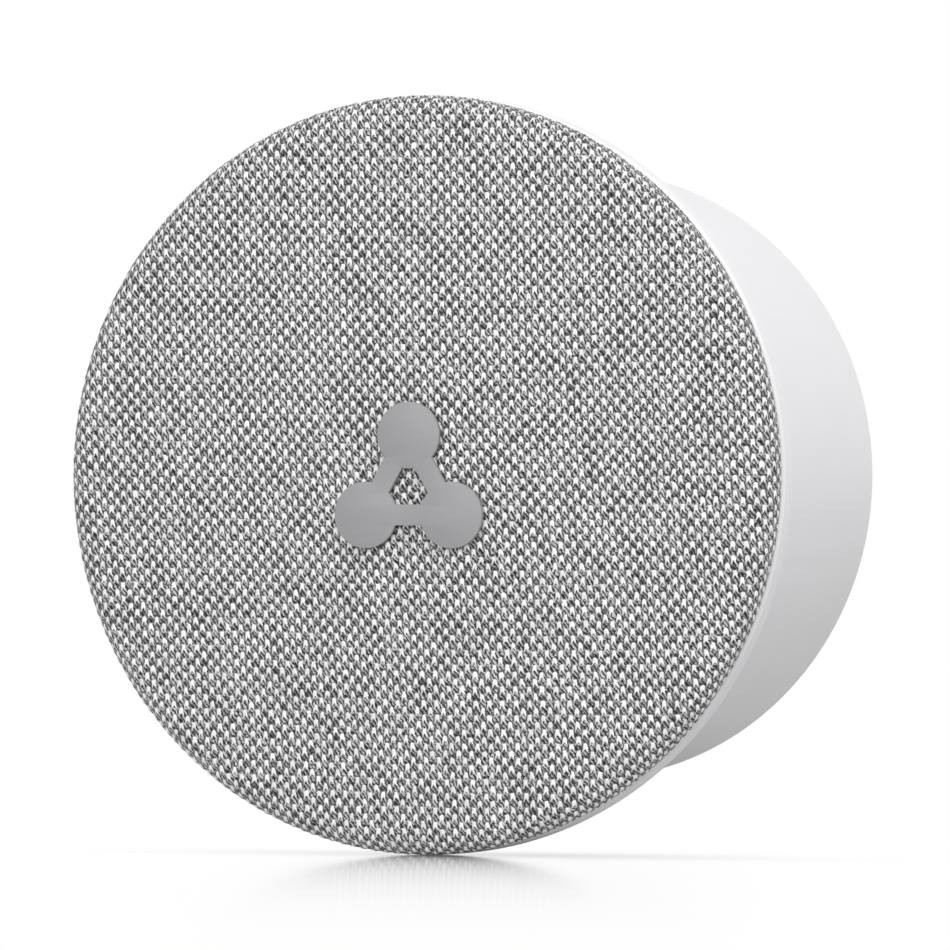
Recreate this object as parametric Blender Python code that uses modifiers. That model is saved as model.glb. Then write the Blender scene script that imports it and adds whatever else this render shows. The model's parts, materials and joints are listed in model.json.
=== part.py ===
"""A round plug-in mesh wifi node with a small loudspeaker behind its knitted front.

Sizes are in millimetres in the device's own frame: x to the right, y up, h forward from the wall face
of the housing. The device_axis empty turns that frame so that h points along world -Y and y along +Z.
"""

import math

import bmesh
import bpy
from mathutils import Matrix, Vector

MM = 0.001
GAP = 0.3  # clearance between pieces that touch
PAST = 1.0  # how far a cutter runs past the faces it opens, and a joined piece runs into its neighbour

# Outer shape
FABRIC_R = 40.0
WIDEST_H = 48.0
DOME_TOP = 51.2
DOME_EDGE = 50.25
ROLL = 2.5
CLOTH = 0.7
HEM_H = 46.7
HEM_R = 36.0
RIM_R = 40.1
RIM_FRONT = 46.4
RIM_BACK = 44.0
BAFFLE_FRONT = 45.8
HOUSING_R = 33.25
HOUSING_FRONT = RIM_BACK - GAP
WALL = 2.0
REAR_WALL = 2.4
INNER_R = HOUSING_R - WALL

# Fastening
POST_R = 26.0
POST_ANGLES = (90.0, 210.0, 330.0)
POST_RADIUS = 3.5
POST_END = 12.3
BOSS_RADIUS = 4.0
COUNTERBORE_RADIUS = 2.75
HEAD_SEAT = 8.9
SCREW_HOLE_RADIUS = 1.6
SMALL_HOLE_RADIUS = 1.2
BOARD_POST_R = 25.5
BOARD_POST_ANGLES = (30.0, 150.0, 297.0)
BOARD_POST_RADIUS = 2.5
EAR_R = 23.5
EAR_ANGLES = (0.0, 120.0, 240.0)
RIB_ANGLES = (0.0, 120.0, 240.0)

# Plug
BLADE_SPACING = 12.7
BLADE_THICKNESS = 1.5
BLADE_WIDTH = 6.35
BLADE_LENGTH = 17.1
BLADE_TAIL = 7.0
PLUG_BLOCK = (26.0, 16.0)
PLUG_FLANGE = (30.0, 20.0)
BLADE_SLOT = (BLADE_THICKNESS + 2 * GAP, BLADE_WIDTH + 2 * GAP)
LABEL = (26.0, 9.0)
LABEL_Y = -20.5

# Boards
MAIN_BOARD = (20.3, 21.5)
MAIN_BOARD_R = 28.6
MAINS_BOARD = (4.6, 6.2)
MAINS_BOARD_R = 28.4
SHEET = (16.2, 16.6)
MAINS_PARTS = MAINS_BOARD[1] + GAP
REAR_PARTS = MAIN_BOARD[0] - GAP
FRONT_PARTS = MAIN_BOARD[1] + GAP
HEADER = (12.0, 3.0)
HEADER_Y = -18.0
LIGHT_R = 25.5
PIPE_RADIUS = 1.2

# Loudspeaker
OPENING_R = 18.0
SPEAKER_R = 20.0
FLANGE = (41.6, 42.8)
CONE_R = 15.1
COIL_R = 6.5
POLE_R = 6.0

# Reset button
BUTTON_H = 18.2
BUTTON_RADIUS = 2.5
BUTTON_FACE = 32.9
BUTTON_FLANGE = (29.7, 30.7)
BUTTON_FLANGE_RADIUS = 3.3
BUTTON_STEM_RADIUS = 1.0
BUTTON_STEM_END = 28.9

OUTER_STEPS = 48
MIDDLE_STEPS = 20
SMALL_STEPS = 10

ALONG_X = (0.0, math.radians(90.0), 0.0)
ALONG_Y = (math.radians(90.0), 0.0, 0.0)  # local z points down, along -y


def clear_scene():
    for obj in list(bpy.data.objects):
        bpy.data.objects.remove(obj, do_unlink=True)


def new_collection(name):
    collection = bpy.data.collections.new(name)
    bpy.context.scene.collection.children.link(collection)
    return collection


def linear(value):
    """A 0-255 display value as linear light."""
    value /= 255.0
    return value / 12.92 if value <= 0.04045 else ((value + 0.055) / 1.055) ** 2.4


def material(name, red, green, blue, roughness=0.5, metallic=0.0):
    made = bpy.data.materials.new(name)
    made.use_nodes = True
    shader = made.node_tree.nodes["Principled BSDF"]
    shader.inputs["Base Color"].default_value = (linear(red), linear(green), linear(blue), 1.0)
    shader.inputs["Roughness"].default_value = roughness
    shader.inputs["Metallic"].default_value = metallic
    return made


def polar(radius, degrees):
    angle = math.radians(degrees)
    return radius * math.cos(angle), radius * math.sin(angle)


def arc(centre, radii, start, end, count):
    """Points (r, h) on an ellipse between two angles in degrees, both ends included."""
    points = []
    for step in range(count + 1):
        x, y = polar(1.0, start + (end - start) * step / count)
        points.append((centre[0] + radii[0] * x, centre[1] + radii[1] * y))
    return points


def dome(apex, edge_r, edge_h, count):
    """Points (r, h) on a shallow dome, from the axis out to its edge."""
    steps = [step / count for step in range(count + 1)]
    return [(edge_r * s, apex - (apex - edge_h) * s * s) for s in steps]


def add(name, mesh, finish, at=(0.0, 0.0, 0.0), turn=(0.0, 0.0, 0.0)):
    """Place a mesh in the device frame: as a part with a finish, or as a hidden tool without one."""
    obj = bpy.data.objects.new(name, mesh)
    obj.parent = device_axis
    obj.location = [value * MM for value in at]
    obj.rotation_euler = turn
    if finish is None:
        tools.objects.link(obj)
        obj.hide_render = True
        obj.display_type = "WIRE"
    else:
        parts.objects.link(obj)
        mesh.materials.append(finish)
    return obj


def turned(name, profile, finish, steps=MIDDLE_STEPS, ring=False, at=(0.0, 0.0, 0.0), turn=(0.0, 0.0, 0.0)):
    """Turn a profile of (r, h) points about the local z axis. A ring's profile closes on itself."""
    mesh = bpy.data.meshes.new(name)
    corners = [(r * MM, 0.0, h * MM) for r, h in profile]
    edges = [(i, i + 1) for i in range(len(corners) - 1)]
    if ring:
        edges.append((len(corners) - 1, 0))
    mesh.from_pydata(corners, edges, [])
    obj = add(name, mesh, finish, at, turn)
    screw = obj.modifiers.new("Turn", "SCREW")
    screw.axis = "Z"
    screw.steps = steps
    screw.render_steps = steps
    screw.use_merge_vertices = True
    screw.merge_threshold = 0.05 * MM
    screw.use_smooth_shade = True
    return obj


def rod(name, radius, low, high, finish, steps=SMALL_STEPS, at=(0.0, 0.0, 0.0), turn=(0.0, 0.0, 0.0)):
    profile = [(0.0, high), (radius, high), (radius, low), (0.0, low)]
    return turned(name, profile, finish, steps, at=at, turn=turn)


def box(name, size, centre, finish, bevel=0.0, spin=0.0):
    """A box of (x, y, h) size about a centre, spun about h by some degrees."""
    bm = bmesh.new()
    bmesh.ops.create_cube(bm, size=1.0, matrix=Matrix.Diagonal(Vector(size) * MM).to_4x4())
    mesh = bpy.data.meshes.new(name)
    bm.to_mesh(mesh)
    bm.free()
    obj = add(name, mesh, finish, centre, (0.0, 0.0, math.radians(spin)))
    if bevel:
        edge = obj.modifiers.new("Bevel", "BEVEL")
        edge.width = bevel * MM
        edge.segments = 1
    return obj


def slab(name, size, low, high, finish, at=(0.0, 0.0), bevel=0.0):
    """A box given by its (x, y) size and the heights of its two faces."""
    return box(name, (*size, high - low), (*at, (low + high) / 2), finish, bevel)


def combine(obj, tool, operation):
    step = obj.modifiers.new(f"{operation.title()} {tool.name}", "BOOLEAN")
    step.operation = operation
    step.object = tool


def cut(obj, tool):
    combine(obj, tool, "DIFFERENCE")


def join(obj, tool):
    combine(obj, tool, "UNION")


def smooth_route(points, per_span=3):
    """A Catmull-Rom curve through the route's own points."""
    points = [Vector(point) for point in points]
    padded = [2 * points[0] - points[1], *points, 2 * points[-1] - points[-2]]
    route = []
    for a, b, c, d in zip(padded, padded[1:], padded[2:], padded[3:]):
        for step in range(per_span):
            t = step / per_span
            bend = (c - a) * t + (2 * a - 5 * b + 4 * c - d) * t**2 + (3 * b - a - 3 * c + d) * t**3
            route.append(b + bend / 2)
    return [*route, points[-1]]


def wire(name, radius, points, finish):
    route = smooth_route(points)
    curve = bpy.data.curves.new(name, "CURVE")
    curve.dimensions = "3D"
    curve.bevel_depth = radius * MM
    curve.bevel_resolution = 1
    curve.use_fill_caps = True
    spline = curve.splines.new("POLY")
    spline.points.add(len(route) - 1)
    for knot, point in zip(spline.points, route):
        knot.co = (*(point * MM), 1.0)
    obj = bpy.data.objects.new(name, curve)
    obj.parent = device_axis
    curve.materials.append(finish)
    parts.objects.link(obj)
    return obj


def screw_part(name, at, head, shank_radius, head_height, length):
    """A pan head screw whose head starts at at[2] and whose tip points forward, with a cross recess."""
    recess = 0.55 * head_height
    profile = [
        (0.0, length),
        (0.6 * shank_radius, length),
        (shank_radius, length - shank_radius),
        (shank_radius, head_height),
        (head, head_height),
        (head, 0.4 * head_height),
        (0.75 * head, 0.0),
        (0.0, 0.0),
    ]
    obj = turned(name, profile, steel, SMALL_STEPS, at=at)
    for spin in (45.0, 135.0):
        size = (1.3 * head, 0.28 * head, 2 * recess)
        cut(obj, box(f"{name}_recess_{spin:.0f}", size, at, None, spin=spin))


def fabric_cover():
    outer = dome(DOME_TOP, FABRIC_R - ROLL, DOME_EDGE, 3)
    outer += arc((FABRIC_R - ROLL, WIDEST_H), (ROLL, DOME_EDGE - WIDEST_H), 90.0, 0.0, 4)[1:]
    outer += arc((FABRIC_R - 1.0, WIDEST_H), (1.0, WIDEST_H - HEM_H), 0.0, -90.0, 3)[1:]
    inner = dome(DOME_TOP - CLOTH, FABRIC_R - 2.7, DOME_EDGE - CLOTH, 2)
    inner += arc((FABRIC_R - 2.7, WIDEST_H), (2.0, DOME_EDGE - CLOTH - WIDEST_H), 90.0, 0.0, 2)[1:]
    inner += [(FABRIC_R - 1.1, HEM_H + CLOTH), (HEM_R, HEM_H + CLOTH)]
    return turned("fabric_cover", outer + [(HEM_R, HEM_H)] + inner[::-1], cloth, OUTER_STEPS)


def grille_plate():
    thickness = 1.4
    skirt = (33.5, 35.0)
    top = DOME_TOP - CLOTH - GAP
    edge_r = 37.0
    edge_h = DOME_EDGE - CLOTH - GAP
    seat = HEM_H + CLOTH + GAP
    profile = dome(top, edge_r, edge_h, 3)
    profile += arc((edge_r, WIDEST_H), (1.8, edge_h - WIDEST_H), 90.0, 0.0, 2)[1:]
    profile += [(edge_r + 1.5, seat), (skirt[1], seat), (skirt[1], BAFFLE_FRONT + GAP)]
    profile += [(skirt[0], BAFFLE_FRONT + GAP)]
    profile += dome(top - thickness, skirt[0], edge_h - thickness + 0.1, 2)[::-1]
    plate = turned("grille_plate", profile, dark_plastic, 32)
    pitch = 7.6
    rings = 2
    spots = [(0.0, -LIGHT_R)]
    for row in range(-rings, rings + 1):
        for column in range(-rings, rings + 1):
            if abs(row + column) <= rings:
                spots.append(((column + row / 2) * pitch, row * pitch * math.sqrt(0.75)))
    for index, spot in enumerate(spots):
        cut(plate, rod(f"grille_hole_{index}", 2.3, BAFFLE_FRONT, DOME_TOP, None, 6, at=(*spot, 0.0)))


def front_frame():
    lip = (38.6, 39.6)
    spigot = (29.0, INNER_R - 0.35)
    profile = [
        (lip[0], RIM_FRONT),
        (lip[1], RIM_FRONT),
        (RIM_R, RIM_FRONT - 0.5),
        (RIM_R, RIM_BACK + GAP),
        (RIM_R - 0.3, RIM_BACK),
        (spigot[1], RIM_BACK),
        (spigot[1], RIM_BACK - 2.5),
        (spigot[0], RIM_BACK - 2.5),
        (spigot[0], RIM_BACK),
        (OPENING_R, RIM_BACK),
        (OPENING_R, BAFFLE_FRONT),
        (lip[0], BAFFLE_FRONT),
    ]
    frame = turned("front_frame", profile, white_plastic, OUTER_STEPS, ring=True)
    inside = (RIM_BACK + BAFFLE_FRONT) / 2
    posts = [(POST_R, angle, POST_RADIUS, POST_END, SCREW_HOLE_RADIUS, 10.0) for angle in POST_ANGLES]
    board_post = (BOARD_POST_RADIUS, FRONT_PARTS, SMALL_HOLE_RADIUS, 7.0)
    posts += [(BOARD_POST_R, angle, *board_post) for angle in BOARD_POST_ANGLES]
    for reach, angle, radius, end, _, _ in posts:
        spot = (*polar(reach, angle), 0.0)
        join(frame, rod(f"post_{angle:.0f}", radius, end, inside, None, 14, at=spot))
    for reach, angle, _, end, pilot, depth in posts:
        spot = (*polar(reach, angle), 0.0)
        cut(frame, rod(f"pilot_{angle:.0f}", pilot, end - PAST, end + depth, None, at=spot))
    through = (RIM_BACK - PAST, BAFFLE_FRONT + PAST)
    for angle in EAR_ANGLES:
        spot = (*polar(EAR_R, angle), 0.0)
        cut(frame, rod(f"speaker_pilot_{angle:.0f}", SMALL_HOLE_RADIUS, *through, None, at=spot))
    cut(frame, rod("light_hole", PIPE_RADIUS + GAP, *through, None, at=(0.0, -LIGHT_R, 0.0)))


def housing_shell():
    corner = 0.4
    floor_fillet = 0.8
    profile = [
        (0.0, REAR_WALL),
        (INNER_R - floor_fillet, REAR_WALL),
        (INNER_R, REAR_WALL + floor_fillet),
        (INNER_R, HOUSING_FRONT),
        (HOUSING_R, HOUSING_FRONT),
        (HOUSING_R, corner),
        (HOUSING_R - corner, 0.0),
        (0.0, 0.0),
    ]
    return turned("rear_housing", profile, white_plastic, OUTER_STEPS)


def rear_housing():
    shell = housing_shell()
    for angle in POST_ANGLES:
        spot = (*polar(POST_R, angle), 0.0)
        join(shell, rod(f"boss_{angle:.0f}", BOSS_RADIUS, PAST, POST_END - GAP, None, 16, at=spot))
    for angle in RIB_ANGLES:
        inner = 29.4
        length = INNER_R + PAST - inner
        height = SHEET[0] - GAP - PAST
        spot = (*polar(inner + length / 2, angle), PAST + height / 2)
        join(shell, box(f"rib_{angle:.0f}", (length, 2.0, height), spot, None, spin=angle))
    for side in (-1.0, 1.0):
        spot = (side * 21.0, 4.0, 0.0)
        join(shell, rod(f"standoff_{side:.0f}", 2.5, PAST, MAINS_BOARD[0] - GAP, None, at=spot))
    stepped = [
        (0.0, POST_END + PAST),
        (SCREW_HOLE_RADIUS, POST_END + PAST),
        (SCREW_HOLE_RADIUS, HEAD_SEAT),
        (COUNTERBORE_RADIUS, HEAD_SEAT),
        (COUNTERBORE_RADIUS, -PAST),
        (0.0, -PAST),
    ]
    for angle in POST_ANGLES:
        spot = (*polar(POST_R, angle), 0.0)
        cut(shell, turned(f"counterbore_{angle:.0f}", stepped, None, 16, at=spot))
    opening = [size + 2 * GAP for size in PLUG_BLOCK]
    cut(shell, slab("plug_opening", opening, -PAST, REAR_WALL + PAST, None))
    recess = [size + 2 * GAP for size in LABEL]
    cut(shell, slab("label_recess", recess, -PAST, 0.6, None, at=(0.0, LABEL_Y)))
    button_hole = rod("button_hole", BUTTON_RADIUS + GAP, INNER_R - WALL, HOUSING_R + PAST, None, 20,
                      at=(0.0, 0.0, BUTTON_H), turn=ALONG_Y)
    cut(shell, button_hole)
    vent = (2 * WALL, 1.5, 14.0)
    vent_h = 31.0
    vent_spacing = 8.0
    for middle in (90.0, 270.0):
        for index in range(-2, 3):
            angle = middle + vent_spacing * index
            spot = (*polar(HOUSING_R - WALL / 2, angle), vent_h)
            cut(shell, box(f"vent_{angle:.0f}", vent, spot, None, spin=angle))
    for step in shell.modifiers:
        if step.type == "BOOLEAN":
            step.solver = "MANIFOLD"  # EXACT drops the bosses' ring-shaped end faces


def emblem():
    """Three dots joined by bars a little thinner than they are: a plain network icon."""
    dot = 3.5
    bar = 2.2
    bar_step = 0.06
    bar_start = 2.0
    spread = 5.6
    drop = -1.4
    low = DOME_TOP + GAP
    high = low + 0.5
    spots = []
    for angle in (90.0, 210.0, 330.0):
        x, y = polar(spread, angle)
        spots.append((x, y + drop))
    badge = rod("emblem", dot, low, high, badge_grey, 24, at=(*spots[0], 0.0))
    for index, spot in enumerate(spots[1:], 1):
        join(badge, rod(f"emblem_dot_{index}", dot, low, high, None, 24, at=(*spot, 0.0)))
    for index, spot in enumerate(spots):
        after = spots[(index + 1) % 3]
        reach = (Vector(after) - Vector(spot)).length - 2 * bar_start
        middle = ((spot[0] + after[0]) / 2, (spot[1] + after[1]) / 2, (low + high) / 2)
        tilt = math.degrees(math.atan2(after[1] - spot[1], after[0] - spot[0]))
        size = (reach, bar, high - low - 2 * bar_step)
        join(badge, box(f"emblem_bar_{index}", size, middle, None, spin=tilt))


def plug():
    flange_low = REAR_WALL + GAP
    flange_high = MAINS_BOARD[0] - GAP
    base = slab("plug_base", PLUG_BLOCK, 0.0, flange_high, white_plastic)
    join(base, slab("plug_flange", PLUG_FLANGE, flange_low, flange_high, None))
    for side, name in ((-1.0, "left"), (1.0, "right")):
        x = side * BLADE_SPACING / 2
        cut(base, slab(f"blade_slot_{name}", BLADE_SLOT, -PAST, flange_high + PAST, None, at=(x, 0.0)))
        blade(f"blade_{name}", x)


def blade(name, x):
    """A bare blade with a softened, pierced tip, on a root that is a little smaller inside the moulding."""
    tip_chamfer = 0.45
    root_step = 0.1
    hole_out = 11.7
    bm = bmesh.new()
    size = Vector((BLADE_THICKNESS, BLADE_WIDTH, BLADE_LENGTH - GAP)) * MM
    bmesh.ops.create_cube(bm, size=1.0, matrix=Matrix.Diagonal(size).to_4x4())
    tip = [edge for edge in bm.edges if all(corner.co.z < 0.0 for corner in edge.verts)]
    bmesh.ops.bevel(bm, geom=tip, offset=tip_chamfer * MM, segments=1, affect="EDGES")
    mesh = bpy.data.meshes.new(name)
    bm.to_mesh(mesh)
    bm.free()
    obj = add(name, mesh, nickel, (x, 0.0, -(BLADE_LENGTH + GAP) / 2))
    root = (BLADE_THICKNESS - 2 * root_step, BLADE_WIDTH - 2 * root_step)
    join(obj, slab(f"{name}_root", root, -PAST, BLADE_TAIL, None, at=(x, 0.0)))
    reach = BLADE_THICKNESS / 2 + PAST
    hole = rod(f"{name}_hole", 1.6, -reach, reach, None, 16, at=(x, 0.0, -hole_out), turn=ALONG_X)
    cut(obj, hole)


def reset_button():
    profile = [
        (0.0, BUTTON_FACE),
        (BUTTON_RADIUS - 0.3, BUTTON_FACE),
        (BUTTON_RADIUS, BUTTON_FACE - 0.3),
        (BUTTON_RADIUS, BUTTON_FLANGE[1]),
        (BUTTON_FLANGE_RADIUS, BUTTON_FLANGE[1]),
        (BUTTON_FLANGE_RADIUS, BUTTON_FLANGE[0]),
        (BUTTON_STEM_RADIUS, BUTTON_FLANGE[0]),
        (BUTTON_STEM_RADIUS, BUTTON_STEM_END),
        (0.0, BUTTON_STEM_END),
    ]
    turned("reset_button", profile, grey_plastic, 20, at=(0.0, 0.0, BUTTON_H), turn=ALONG_Y)
    switch = (6.0, 3.0, 3.0)
    switch_y = -26.1
    plunger_end = BUTTON_STEM_END - 2 * GAP
    body = box("reset_switch", switch, (0.0, switch_y, REAR_PARTS - switch[2] / 2), black_plastic)
    plunger = rod("switch_plunger", 0.8, 27.0, plunger_end, None, 12, at=(0.0, 0.0, BUTTON_H), turn=ALONG_Y)
    join(body, plunger)


def speaker_frame():
    gasket = [(19.8, 43.7), (19.8, 43.1), (18.4, 43.1), (18.4, 43.7)]
    turned("speaker_gasket", gasket, foam, MIDDLE_STEPS, ring=True)
    profile = [
        (17.3, FLANGE[1]),
        (SPEAKER_R, FLANGE[1]),
        (SPEAKER_R, FLANGE[0]),
        (18.2, FLANGE[0]),
        (16.2, 34.6),
        (8.6, 34.6),
        (8.6, 35.6),
        (15.4, 35.6),
        (17.3, FLANGE[0] + 0.4),
    ]
    basket = turned("speaker_basket", profile, black_steel, MIDDLE_STEPS, ring=True)
    for angle in EAR_ANGLES:
        spot = polar((EAR_R + SPEAKER_R - PAST) / 2, angle)
        middle = (FLANGE[0] + FLANGE[1]) / 2
        size = (EAR_R - SPEAKER_R + PAST, 6.0, FLANGE[1] - FLANGE[0])
        join(basket, box(f"ear_neck_{angle:.0f}", size, (*spot, middle), None, spin=angle))
        centre = (*polar(EAR_R, angle), 0.0)
        join(basket, rod(f"ear_{angle:.0f}", 3.0, *FLANGE, None, 16, at=centre))
        cut(basket, rod(f"ear_hole_{angle:.0f}", 1.3, FLANGE[0] - PAST, FLANGE[1] + PAST, None, at=centre))
        window = (*polar(17.0, angle + 60.0), 38.4)
        cut(basket, box(f"basket_window_{angle:.0f}", (8.0, 15.0, 4.4), window, None, spin=angle + 60.0))
        head_height = 1.3
        seat = (*polar(EAR_R, angle), FLANGE[0] - GAP - head_height)
        screw_part(f"speaker_screw_{EAR_ANGLES.index(angle) + 1}", seat, 2.0, 1.0, head_height, 5.3)


def speaker_motor():
    turned("top_plate", [(13.0, 34.3), (13.0, 32.6), (7.0, 32.6), (7.0, 34.3)], steel, ring=True)
    turned("magnet", [(14.5, 32.3), (14.5, 27.3), (8.2, 27.3), (8.2, 32.3)], ferrite, ring=True)
    profile = [(0.0, 34.3), (POLE_R, 34.3), (POLE_R, 27.0), (13.0, 27.0), (13.0, 25.4), (12.6, 25.0), (0.0, 25.0)]
    turned("yoke", profile, steel)


def diaphragm():
    neck_r = COIL_R + 0.5
    flare = arc((neck_r - 2.4, 47.0), (9.4, 8.9), -75.3, -24.0, 4)
    over = [(r, h + 0.1) for r, h in flare[:-1]]
    under = [(r + 0.25, h - 0.5) for r, h in flare[:-1]]
    under[0] = (neck_r, under[0][1])
    over[0] = (neck_r, over[0][1])
    profile = over[::-1] + under
    rim = [(13.8, 42.8), (CONE_R, 42.8), (CONE_R, 42.3), (14.1, 42.3)]
    turned("cone", rim + under[::-1] + over, paper, ring=True)
    cap = dome(41.0, 7.7, 39.6, 3)
    cap += [(7.7, 39.2), (5.0, 40.0), (0.0, 40.5)]
    turned("dust_cap", cap, paper)
    former = [
        (6.5, 38.0),
        (6.5, 34.6),
        (6.7, 34.4),
        (6.7, 28.7),
        (6.3, 28.5),
        (6.3, 38.0),
    ]
    turned("voice_coil", former, copper, ring=True)
    outer = arc((16.0, 43.1), (1.3, 1.3), 0.0, 180.0, 5)
    inner = arc((16.0, 43.1), (0.9, 0.9), 180.0, 0.0, 4)
    lips = [(18.0, 43.5), (18.0, 43.1)]
    roll = [(17.25, 43.5)] + outer[1:-1] + [(14.75, 43.5), (13.9, 43.5), (13.9, 43.1)]
    turned("surround", lips + inner[::-1] + roll[::-1], rubber, ring=True)
    spider()


def spider():
    """A corrugated ring that centres the coil."""
    waves = 2.0
    low = []
    count = 8
    for step in range(count + 1):
        share = step / count
        r = COIL_R + 0.6 + 6.4 * share
        lift = 0.35 * math.sin(2 * math.pi * waves * share) * min(1.0, 4 * (1 - share))
        low.append((r, 36.3 + lift))
    high = [(r, h + 0.4) for r, h in low]
    turned("spider", high + low[::-1], fibre, 16, ring=True)


def speaker_wiring():
    slab("speaker_connector", (6.0, 4.0), FRONT_PARTS, FRONT_PARTS + 2.5, cream_plastic, at=(-15.0, -13.0))
    for name, shift, finish in (("plus", 0.75, red_wire), ("minus", -0.75, black_wire)):
        route = [
            (-15.0 - shift, -13.0 + shift, 24.7),
            (-16.2 - shift, -12.7 + shift, 27.5),
            (-17.0 - shift, -11.8 + shift, 31.5),
            (-16.8 - 0.6 * shift, -10.4 + shift, 35.5),
            (-15.6 - 0.6 * shift, -9.8 + shift, 38.6),
        ]
        wire(f"speaker_wire_{name}", 0.45, route, finish)


def main_board():
    board = rod("main_board", MAIN_BOARD_R, *MAIN_BOARD, board_green, 40)
    notch_posts(board, "main_notch", POST_RADIUS + 0.4, *MAIN_BOARD)
    for index, angle in enumerate(BOARD_POST_ANGLES, 1):
        spot = polar(BOARD_POST_R, angle)
        through = (MAIN_BOARD[0] - PAST, MAIN_BOARD[1] + PAST)
        cut(board, rod(f"board_hole_{index}", SMALL_HOLE_RADIUS, *through, None, at=(*spot, 0.0)))
        head_height = 1.2
        seat = (*spot, MAIN_BOARD[0] - GAP - head_height)
        screw_part(f"board_screw_{index}", seat, 1.9, 0.9, head_height, 7.4)
    shield_low = REAR_PARTS - 2.6
    chip_low = REAR_PARTS - 1.0
    led_high = FRONT_PARTS + 0.8
    slab("processor_shield", (18.0, 18.0), shield_low, REAR_PARTS, tin, at=(-10.2, 5.0), bevel=0.4)
    slab("radio_shield", (16.0, 18.0), shield_low, REAR_PARTS, tin, at=(9.2, 5.0), bevel=0.4)
    slab("audio_amplifier", (7.0, 7.0), chip_low, REAR_PARTS, black_plastic, at=(12.0, -11.0), bevel=0.2)
    slab("status_led", (2.0, 1.6), FRONT_PARTS, led_high, cream_plastic, at=(0.0, -LIGHT_R))
    pipe_end = 47.4
    flare = 0.6
    pipe = [
        (0.0, pipe_end),
        (PIPE_RADIUS, pipe_end),
        (PIPE_RADIUS, 24.0),
        (PIPE_RADIUS + flare, 24.0 - flare),
        (PIPE_RADIUS + flare, led_high + GAP),
        (0.0, led_high + GAP),
    ]
    turned("light_pipe", pipe, clear_plastic, SMALL_STEPS, at=(0.0, -LIGHT_R, 0.0))


def notch_posts(board, name, radius, low, high):
    for angle in POST_ANGLES:
        spot = (*polar(POST_R, angle), 0.0)
        cut(board, rod(f"{name}_{angle:.0f}", radius, low - PAST, high + PAST, None, 16, at=spot))


def antennas():
    strip = (24.0, 40.0)
    for side, name in ((-1.0, "left"), (1.0, "right")):
        outer = INNER_R - GAP
        profile = [(outer, strip[1]), (outer, strip[0]), (outer - 0.4, strip[0]), (outer - 0.4, strip[1])]
        band = turned(f"antenna_{name}", profile, flex_gold, 48, ring=True)
        keep = slab(f"antenna_{name}_keep", (8.0, 21.0), strip[0] - PAST, strip[1] + PAST, None,
                    at=(side * 30.0, 0.0))
        combine(band, keep, "INTERSECT")
        rod(f"coax_socket_{name}", 1.5, FRONT_PARTS, FRONT_PARTS + 1.2, brass, at=(side * 22.0, 4.0, 0.0))
        route = [
            (side * 29.4, -1.0, 33.0),
            (side * 29.3, 0.4, 30.0),
            (side * 28.0, 1.8, 27.4),
            (side * 25.4, 3.2, 26.2),
            (side * 23.0, 4.0, 25.6),
            (side * 22.1, 4.0, 24.6),
            (side * 22.0, 4.0, 23.4),
        ]
        wire(f"coax_{name}", 0.6, route, black_wire)


def insulation():
    sheet = rod("insulating_sheet", 30.6, *SHEET, fish_paper, 40)
    notch_posts(sheet, "sheet_notch", POST_RADIUS + 0.4, *SHEET)
    cut(sheet, slab("sheet_flat", (12.0, 6.0), SHEET[0] - PAST, SHEET[1] + PAST, None, at=(0.0, -31.4)))
    slot = [size + 2 * GAP for size in HEADER]
    cut(sheet, slab("sheet_slot", slot, SHEET[0] - PAST, SHEET[1] + PAST, None, at=(0.0, HEADER_Y)))
    slab("power_header", HEADER, MAINS_PARTS, REAR_PARTS, black_plastic, at=(0.0, HEADER_Y), bevel=0.3)


def mains_board():
    board = rod("mains_board", MAINS_BOARD_R, *MAINS_BOARD, board_tan, 40)
    notch_posts(board, "mains_notch", BOSS_RADIUS + 0.4, *MAINS_BOARD)
    for side in (-1.0, 1.0):
        at = (side * BLADE_SPACING / 2, 0.0)
        through = (MAINS_BOARD[0] - PAST, MAINS_BOARD[1] + PAST)
        cut(board, slab(f"tail_slot_{side:.0f}", BLADE_SLOT, *through, None, at=at))


def mains_parts():
    low = MAINS_PARTS
    core_spot = (0.0, 13.5)
    core_high = low + 9.0
    core_leg = 1.6
    window = (12.0, 8.0)
    core = slab("transformer_core", (18.0, 6.0), low, core_high, ferrite, at=core_spot)
    cut(core, slab("core_window", window, low + core_leg, core_high - core_leg, None, at=core_spot))
    slab("transformer_coil", (window[0] - 2 * GAP, 11.0), low + core_leg + GAP, core_high - core_leg - GAP,
         yellow_tape, at=core_spot, bevel=1.0)
    for index, side in enumerate((-1.0, 1.0), 1):
        capacitor(f"bulk_capacitor_{index}", 4.0, 14.0, (side * 18.0, -1.5, low + 4.1), can_black, ALONG_Y)
    capacitor("output_capacitor", 3.1, 9.0, (-11.5, -19.0, low), can_black)
    slab("bridge_rectifier", (8.0, 6.0), low, low + 3.0, black_plastic, at=(-10.5, -10.0), bevel=0.4)
    fuse_profile = [(0.0, 5.0), (2.1, 5.0), (2.1, 3.4), (1.8, 3.4), (1.8, -3.4), (2.1, -3.4), (2.1, -5.0), (0.0, -5.0)]
    turned("fuse", fuse_profile, glass_clear, SMALL_STEPS, at=(1.5, -9.0, low + 2.2), turn=ALONG_X)
    disc = [(0.0, 1.7), (2.6, 1.7), (3.5, 0.8), (3.5, -0.8), (2.6, -1.7), (0.0, -1.7)]
    turned("suppression_capacitor", disc, blue_ceramic, 16, at=(12.5, -9.0, low + 3.6), turn=ALONG_X)
    choke = [(0.0, 7.5), (3.8, 7.5), (3.8, 6.5), (3.0, 6.0), (3.0, 1.5), (3.8, 1.0), (3.8, 0.0), (0.0, 0.0)]
    turned("line_choke", choke, copper, 16, at=(11.5, -19.0, low))


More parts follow.
